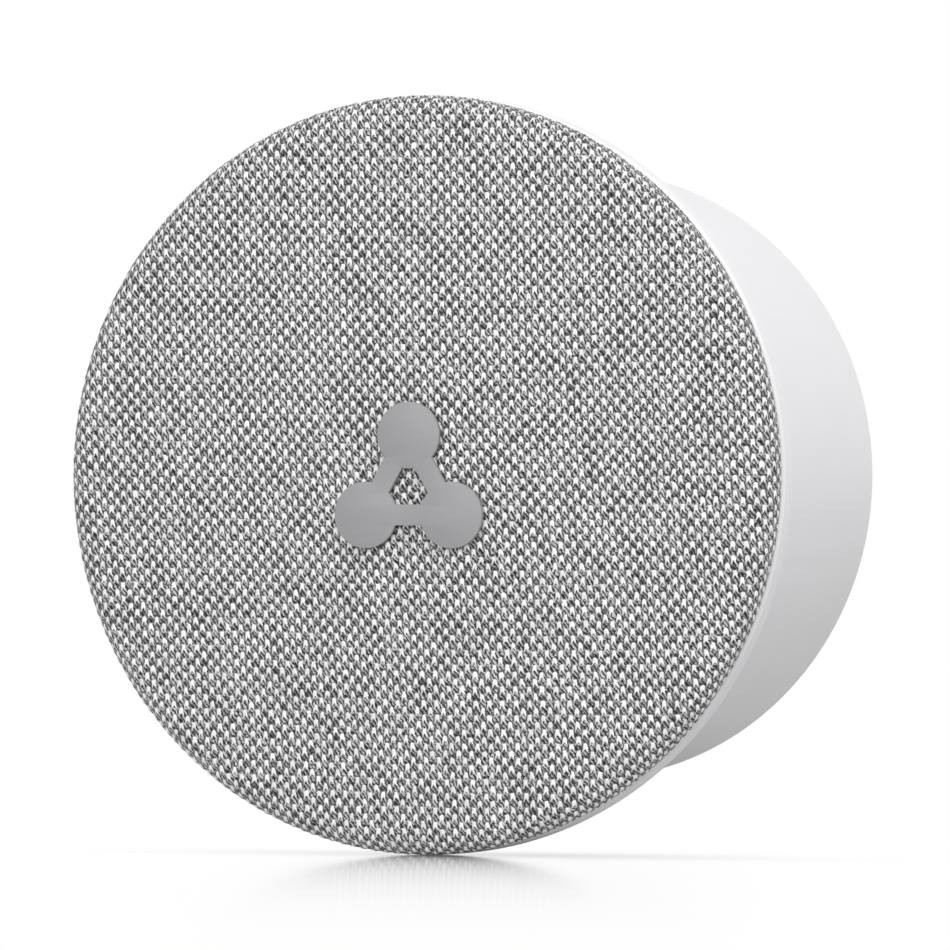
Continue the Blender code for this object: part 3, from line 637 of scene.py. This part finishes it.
def housing(finish):
    """The rear cup with its vents, bosses, ribs, button hole, plug opening and label recess."""
    corner = 0.3
    floor_fillet = 0.8
    profile = [(0.0, REAR_WALL), (INNER_R - floor_fillet, REAR_WALL)]
    profile += [(INNER_R, REAR_WALL + floor_fillet), (INNER_R, HOUSING_FRONT), (HOUSING_R, HOUSING_FRONT)]
    profile += arc((HOUSING_R - corner, corner), (corner, corner), 0.0, -90.0, 5)
    profile.append((0.0, 0.0))
    obj = turned("housing_cup", profile)
    for angle in POST_ANGLES:
        join(obj, rod("boss", 4.0, 1.0, POST_END - GAP, at=(*polar(POST_R, angle), 0.0)), solver="MANIFOLD")
    for angle in SIDE_ANGLES:
        inner = 29.4
        length = INNER_R + 1.0 - inner
        rib = slab("rib", (length, 2.0), 1.0, 15.9, at=polar(inner + length / 2, angle), spin=angle)
        join(obj, rib, solver="MANIFOLD")
    for side in (-1.0, 1.0):
        join(obj, rod("standoff", 2.5, 1.0, 4.3, at=(side * 21.0, 4.0, 0.0)), solver="MANIFOLD")
    stepped = [
        (0.0, POST_END + 1.0),
        (1.6, POST_END + 1.0),
        (1.6, HEAD_SEAT),
        (2.75, HEAD_SEAT),
        (2.75, -1.0),
        (0.0, -1.0),
    ]
    cutters = [turned("counterbore", stepped, SMALL_STEPS, at=(*polar(POST_R, a), 0.0)) for a in POST_ANGLES]
    base_low, base_high = extent("plug_base")
    opening = (26.6, 16.6)
    cutters.append(slab("plug_opening", opening, -1.0, REAR_WALL + 1.0))
    cutters.append(slab("label_recess", (26.6, 9.6), -1.0, 0.6, at=(0.0, -20.5)))
    down = Matrix.Rotation(math.radians(90.0), 4, "X")
    cutters.append(rod("button_hole", 2.8, INNER_R - 2.0, HOUSING_R + 1.0, at=(0.0, 0.0, BUTTON_H), turn=down))
    for middle in (90.0, 270.0):
        for index in range(-2, 3):
            cutters.append(vent(middle + 8.0 * index))
    cut(obj, *cutters, solver="MANIFOLD")
    round_edges(obj, 0.12)
    return show(settle(obj), "rear_housing", finish)


def vent(angle):
    """A slot cutter with round ends, through the wall."""
    width = 1.5
    length = 14.0
    middle = 31.0
    depth = 2 * WALL
    obj = slab("vent", (depth, width), middle - (length - width) / 2, middle + (length - width) / 2,
               at=polar(HOUSING_R - WALL / 2, angle), spin=angle)
    side = Matrix.Rotation(math.radians(angle), 4, "Z") @ Matrix.Rotation(math.radians(90.0), 4, "Y")
    for end in (middle - (length - width) / 2, middle + (length - width) / 2):
        spot = (*polar(HOUSING_R - WALL / 2, angle), end)
        tip = rod("vent_end", width / 2, -depth / 2, depth / 2, 24, at=spot, turn=side)
        join(obj, tip)
    return settle_tool(obj)


def settle_tool(obj):
    """Apply a cutter's own modifiers, so that it can cut."""
    graph = bpy.context.evaluated_depsgraph_get()
    mesh = bpy.data.meshes.new_from_object(obj.evaluated_get(graph))
    obj.modifiers.clear()
    obj.data = mesh
    return obj


# ------------------------------------------------------------------ small parts


def badge(finish):
    """Three dots joined by bars, one flat piece with a softened edge."""
    low, high = extent("emblem")
    dot = 3.5
    spread = 5.6
    drop = -1.4
    neck = math.degrees(math.asin(BADGE_BAR / 2 / dot))
    angles = (90.0, 210.0, 330.0)
    spots = [Vector((x, y + drop)) for x, y in (polar(spread, angle) for angle in angles)]
    outside, inside = [], []
    for angle, spot in zip(angles, spots):
        to_next, to_last = angle + 150.0, angle + 210.0
        outside.append(arc(spot, (dot, dot), to_last + neck - 360.0, to_next - neck, 64))
        inside.append(arc(spot, (dot, dot), to_next + neck, to_last - neck, 10))
    bm = bmesh.new()
    for loops in (outside, inside[::-1]):
        corners = [bm.verts.new((x * MM, y * MM, low.z * MM)) for loop in loops for x, y in loop]
        for index, corner in enumerate(corners):
            bm.edges.new((corners[index - 1], corner))
    filled = bmesh.ops.triangle_fill(bm, use_beauty=True, edges=bm.edges[:])
    base = [face for face in filled["geom"] if isinstance(face, bmesh.types.BMFace)]
    raised = bmesh.ops.extrude_face_region(bm, geom=base)["geom"]
    tops = [corner for corner in raised if isinstance(corner, bmesh.types.BMVert)]
    bmesh.ops.translate(bm, vec=(0.0, 0.0, (high.z - low.z) * MM), verts=tops)
    bmesh.ops.recalc_face_normals(bm, faces=bm.faces[:])
    mesh = bpy.data.meshes.new("badge")
    bm.to_mesh(mesh)
    bm.free()
    obj = place("badge", mesh)
    round_edges(obj, 0.08, 3)
    return show(settle(obj), "emblem", finish)


def plug_block(finish):
    low, high = extent("plug_base")
    block = (26.0, 16.0)
    flange_low = REAR_WALL + GAP
    obj = slab("plug_block", block, low.z, high.z)
    join(obj, slab("flange", (high.x - low.x, high.y - low.y), flange_low, high.z + 0.0))
    for node in ("blade_left", "blade_right"):
        blade_low, blade_high = extent(node)
        size = (blade_high.x - blade_low.x + 2 * GAP, blade_high.y - blade_low.y + 2 * GAP)
        cut(obj, slab("slot", size, low.z - 1.0, high.z + 1.0, at=((blade_low.x + blade_high.x) / 2, 0.0)))
    round_edges(obj, 0.15)
    return show(settle(obj), "plug_base", finish)


def blade(node, finish):
    low, high = extent(node)
    middle = ((low.x + high.x) / 2, 0.0)
    width, height = high.x - low.x, high.y - low.y
    step = 0.1
    obj = slab(f"{node}_contact", (width, height), low.z, -GAP, at=middle)
    tip = obj.modifiers.new("Tip", "BEVEL")
    tip.width = 0.45 * MM
    tip.limit_method = "WEIGHT"
    weights = obj.data.attributes.new("bevel_weight_edge", "FLOAT", "EDGE")
    for edge in obj.data.edges:
        ends = [obj.data.vertices[i].co.z for i in edge.vertices]
        weights.data[edge.index].value = float(max(ends) < 0.0)
    join(obj, slab("root", (width - 2 * step, height - 2 * step), -1.0, high.z, at=middle))
    across = Matrix.Rotation(math.radians(90.0), 4, "Y")
    cut(obj, rod("hole", 1.6, -2.0, 2.0, at=(*middle, -11.7), turn=across))
    round_edges(obj, 0.08)
    return show(settle(obj), node, finish)


def button(finish):
    """The reset button, with a shallow finger dish."""
    face = 32.9
    profile = [(0.0, face - 0.25)]
    profile += [(2.1 * share, face - 0.25 * (1.0 - share**2)) for share in (0.25, 0.5, 0.75, 1.0)]
    profile += arc((2.25, face - 0.25), (0.25, 0.25), 90.0, 0.0, 4)
    profile += [(2.5, 30.7), (3.3, 30.7), (3.3, 29.7), (1.0, 29.7), (1.0, 28.9), (0.0, 28.9)]
    down = Matrix.Rotation(math.radians(90.0), 4, "X")
    obj = turned("button_cap", profile, 96, at=(0.0, 0.0, BUTTON_H), turn=down)
    return show(settle(obj), "reset_button", finish, "reset_button")


def screw(node, head, shank, head_height, finish):
    """A pan head screw with a cross recess and threads on its shank."""
    low, high = extent(node)
    at = ((low.x + high.x) / 2, (low.y + high.y) / 2, low.z)
    length = high.z - low.z
    pitch = 0.45 * shank
    profile = [(0.0, length), (0.3 * shank, length)]
    h = length - 0.8 * shank
    while h > head_height + pitch:
        profile += [(shank, h), (0.78 * shank, h - pitch / 2)]
        h -= pitch
    profile += [(0.8 * shank, head_height), (head - 0.1, head_height), (head, head_height - 0.1)]
    profile += arc((head - 0.55 * head_height, 0.55 * head_height), (0.55 * head_height, 0.55 * head_height),
                   0.0, -90.0, 6)
    profile.append((0.0, 0.0))
    obj = turned(f"{node}_pan_head", profile, SMALL_STEPS, at=at)
    recess = 0.55 * head_height
    for spin in (45.0, 135.0):
        cut(obj, slab("recess", (1.3 * head, 0.28 * head), low.z - recess, low.z + recess, at=at[:2], spin=spin))
    return show(settle(obj), node, finish)


def sector(name, profile, start, end, steps):
    """One closed slice of a ring, from its closed profile of (r, h) points, between two angles in degrees."""
    bm = bmesh.new()
    rows = []
    for step in range(steps + 1):
        x, y = polar(1.0, start + (end - start) * step / steps)
        rows.append([bm.verts.new((r * x * MM, r * y * MM, h * MM)) for r, h in profile])
    for row, after in zip(rows, rows[1:]):
        for index in range(len(profile)):
            bm.faces.new((row[index - 1], row[index], after[index], after[index - 1]))
    bm.faces.new(rows[0])
    bm.faces.new(rows[-1][::-1])
    bmesh.ops.recalc_face_normals(bm, faces=bm.faces[:])
    mesh = bpy.data.meshes.new(name)
    bm.to_mesh(mesh)
    bm.free()
    return place(name, mesh)


def surround(finish):
    """The half roll between cone and basket, in closed sectors that meet round the ring."""
    lip = (43.1, 43.5)
    lip_r = (13.9, 14.75, 17.25, 18.0)
    roll_r = (lip_r[1] + lip_r[2]) / 2
    profile = [(lip_r[3], lip[1]), (lip_r[3], lip[0])]
    profile += arc((roll_r, lip[0]), (0.9, 0.9), 0.0, 180.0, 24)
    profile += [(lip_r[0], lip[0]), (lip_r[0], lip[1]), (lip_r[1], lip[1])]
    profile += arc((roll_r, lip[0]), (1.3, 1.3), 162.0, 18.0, 24)
    profile.append((lip_r[2], lip[1]))
    span = 360.0 / ROLL_SECTORS
    for index in range(ROLL_SECTORS):
        obj = settle(sector(f"half_roll_{index + 1}", profile, span * index, span * (index + 1), 8))
        obj.data.materials.append(finish)
        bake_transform(obj)
        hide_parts("surround")


def label(finish):
    low, high = extent("rating_label")
    size = (high.x - low.x, high.y - low.y)
    obj = slab("blank_label", size, low.z, high.z, at=((low.x + high.x) / 2, (low.y + high.y) / 2))
    corners = obj.modifiers.new("Corners", "BEVEL")
    corners.width = 1.0 * MM
    corners.segments = 6
    corners.limit_method = "WEIGHT"
    weights = obj.data.attributes.new("bevel_weight_edge", "FLOAT", "EDGE")
    for edge in obj.data.edges:
        ends = [obj.data.vertices[i].co for i in edge.vertices]
        weights.data[edge.index].value = float(abs(ends[0].z - ends[1].z) > abs(ends[0].x - ends[1].x)
                                               + abs(ends[0].y - ends[1].y))
    return show(settle(obj), "rating_label", finish)


# ------------------------------------------------------------ light and camera


def camera():
    """The photograph's view: level, from the object's left front, with a long lens."""
    turn = math.radians(21.84)
    distance = 1160.0
    aside = 5.56
    across = Vector((math.cos(turn), math.sin(turn), 0.0))
    back = Vector((math.sin(turn), -math.cos(turn), 0.0))
    data = bpy.data.cameras.new("camera")
    data.lens = 416.8
    data.sensor_width = 36.0
    data.clip_start = 0.05
    data.clip_end = 50.0
    obj = bpy.data.objects.new("camera", data)
    obj.location = (Vector((0.0, -WIDEST_H, 0.0)) + back * distance + across * aside) * MM
    obj.rotation_mode = "QUATERNION"
    obj.rotation_quaternion = (-back).to_track_quat("-Z", "Y")
    bpy.context.scene.collection.objects.link(obj)
    bpy.context.scene.camera = obj


def softbox(name, location, aim, size, power):
    data = bpy.data.lights.new(name, "AREA")
    data.shape = "RECTANGLE"
    data.size, data.size_y = size
    data.energy = power
    obj = bpy.data.objects.new(name, data)
    obj.location = location
    obj.rotation_euler = (Vector(aim) - Vector(location)).to_track_quat("-Z", "Y").to_euler()
    obj.visible_camera = False
    bpy.context.scene.collection.objects.link(obj)


def studio():
    """A white sweep, an even sky and two soft boxes."""
    world = bpy.data.worlds.new("studio")
    bpy.context.scene.world = world
    world.use_nodes = True
    graph = Graph(world.node_tree)
    background = world.node_tree.nodes["Background"]
    path = graph.tree.nodes.new("ShaderNodeLightPath")
    seen = graph.math("MAXIMUM", path.outputs["Is Camera Ray"], path.outputs["Is Glossy Ray"])
    graph.feed(background.inputs["Strength"], graph.math("MULTIPLY_ADD", seen, 1.0 - SKY, SKY))
    background.inputs["Color"].default_value = (1.0, 1.0, 1.0, 1.0)
    softbox("key", (0.55, -0.35, 0.75), (0.0, -0.03, 0.0), (0.6, 0.6), KEY)
    softbox("front", (-0.05, -1.1, 0.3), (0.0, -0.05, 0.0), (0.8, 0.6), FRONT)

    floor = bpy.data.meshes.new("floor")
    reach = 3.0
    level = -(RIM_R + 0.02) * MM
    floor.from_pydata([(-reach, -reach, level), (reach, -reach, level), (reach, reach, level),
                       (-reach, reach, level)], [], [(0, 1, 2, 3)])
    obj = bpy.data.objects.new("floor", floor)
    bpy.context.scene.collection.objects.link(obj)
    obj.data.materials.append(floor_material())
    bpy.context.scene.view_settings.view_transform = "Standard"


def floor_material():
    """White acrylic: evenly bright, with a reflection and a faint contact shadow that fade with distance."""
    made, graph, shader = new_material("floor")
    where = graph.tree.nodes.new("ShaderNodeSeparateXYZ")
    graph.feed(where.inputs[0], graph.object_place())
    foot = -WIDEST_H * MM
    near = graph.math("SUBTRACT", foot, where.outputs[1])
    fade = graph.math("POWER", math.e, graph.math("DIVIDE", graph.math("ABSOLUTE", near), -FADE * MM))
    behind = graph.math("DIVIDE", graph.math("ADD", near, 4.0 * MM), 9.0 * MM)
    beside = graph.math("DIVIDE", graph.math("SUBTRACT", where.outputs[0], 6.0 * MM), 26.0 * MM)
    spread = graph.math("ADD", graph.math("POWER", behind, 2.0), graph.math("POWER", beside, 2.0))
    shadow = graph.math("MULTIPLY", graph.math("POWER", math.e, graph.math("MULTIPLY", spread, -1.0)), 0.22)
    white_light = graph.math("SUBTRACT", 1.0, shadow)
    glow = graph.node("ShaderNodeEmission", {"Color": (1.0, 1.0, 1.0, 1.0), "Strength": white_light})
    dimmed = graph.node("ShaderNodeCombineColor", {0: white_light, 1: white_light, 2: white_light})
    mirror = graph.node("ShaderNodeBsdfGlossy", {"Color": dimmed, "Roughness": 0.1})
    share = graph.math("MULTIPLY", fade, 0.9)
    seen = graph.node("ShaderNodeMixShader", {0: share, 1: glow, 2: mirror})
    shader.inputs["Base Color"].default_value = (0.6, 0.6, 0.6, 1.0)
    shader.inputs["Roughness"].default_value = 0.6
    direct = graph.node("ShaderNodeLightPath", output="Is Camera Ray")
    both = graph.node("ShaderNodeMixShader", {0: direct, 1: shader.outputs[0], 2: seen})
    made.node_tree.links.new(both, made.node_tree.nodes["Material Output"].inputs["Surface"])
    return made


ROLL_SECTORS = 16
FADE = 48.0
SKY = 0.48
KEY = 5.2
FRONT = 5.4

knit = knit_material()
white = moulded("white_plastic", colour(238, 238, 240), 0.42)
nickel = metal("nickel", colour(206, 204, 198), 0.24)
zinc = metal("zinc_steel", colour(190, 192, 197), 0.32)
light_grey = moulded("grey_plastic", colour(190, 190, 192), 0.5)
badge_grey = moulded("badge_grey", colour(146, 146, 148), 0.42, grain=0.15, depth=0.003, mottle=0.02)

rubber = moulded("butyl", colour(30, 30, 31), 0.68, grain=0.2, depth=0.008)

camera()
knitted_front(knit)
surround(rubber)
rim(white)
housing(white)
badge(badge_grey)
plug_block(white)
blade("blade_left", nickel)
blade("blade_right", nickel)
button(light_grey)
label(light_grey)
for number in (1, 2, 3):
    screw(f"housing_screw_{number}", 2.4, 1.3, 2.2, zinc)
    screw(f"speaker_screw_{number}", 2.0, 1.0, 1.3, zinc)
    screw(f"board_screw_{number}", 1.9, 0.9, 1.2, zinc)

FINISHES = {
    "knit_cloth": knit,
    "white_plastic": white,
    "grey_plastic": light_grey,
    "badge_grey": badge_grey,
    "nickel": nickel,
    "zinc_steel": zinc,
    "dark_plastic": moulded("dark_plastic", colour(40, 40, 42), 0.55),
    "black_plastic": moulded("black_plastic", colour(28, 28, 30), 0.5, grain=0.12),
    "cream_plastic": moulded("cream_plastic", colour(232, 228, 214), 0.5),
    "clear_plastic": clear("clear_plastic", colour(226, 234, 238)),
    "black_steel": moulded("black_steel", colour(34, 34, 36), 0.42, grain=0.1, depth=0.01),
    "tin_plate": metal("tin_plate", colour(200, 202, 206), 0.28),
    "gold_contact": metal("gold_contact", colour(216, 178, 92), 0.25),
    "copper": wound("copper", colour(186, 104, 62)),
    "ferrite": moulded("ferrite", colour(54, 54, 58), 0.62, grain=0.3, depth=0.02, mottle=0.2),
    "foam": fibrous("foam", colour(48, 48, 50), 0.25, 0.95, 0.08),
    "paper_pulp": fibrous("paper_pulp", colour(44, 44, 46), 0.5, 0.9, 0.05),
    "butyl": rubber,
    "resin_fibre": fibrous("resin_fibre", colour(190, 144, 80), 0.35, 0.85, 0.08),
    "board_green": circuit("board_green", colour(22, 84, 54), colour(40, 116, 74)),
    "board_tan": circuit("board_tan", colour(176, 132, 78), colour(150, 106, 60), 2.6),
    "insulating_paper": fibrous("insulating_paper", colour(206, 198, 176), 0.6, 0.8, 0.02, 0.1),
    "polyester_tape": moulded("polyester_tape", colour(226, 190, 52), 0.3, grain=1.5, depth=0.03),
    "flex_film": moulded("flex_film", colour(196, 132, 48), 0.32, grain=1.2, depth=0.01, mottle=0.12),
    "red_wire": moulded("red_wire", colour(176, 34, 30), 0.4),
    "black_wire": moulded("black_wire", colour(30, 30, 32), 0.4),
    "capacitor_sleeve": moulded("capacitor_sleeve", colour(30, 34, 46), 0.3, grain=0.8, depth=0.01),
    "fuse_glass": clear("fuse_glass", colour(214, 220, 218)),
    "blue_ceramic": moulded("blue_ceramic", colour(42, 92, 164), 0.35, grain=1.0, depth=0.03),
}
slot_of = {part["node"]: part["material_slot"] for part in frame["record"]["subparts"]}
for node, obj in frame["nodes"].items():
    obj.data.materials.clear()
    obj.data.materials.append(FINISHES[slot_of[node]])

studio()
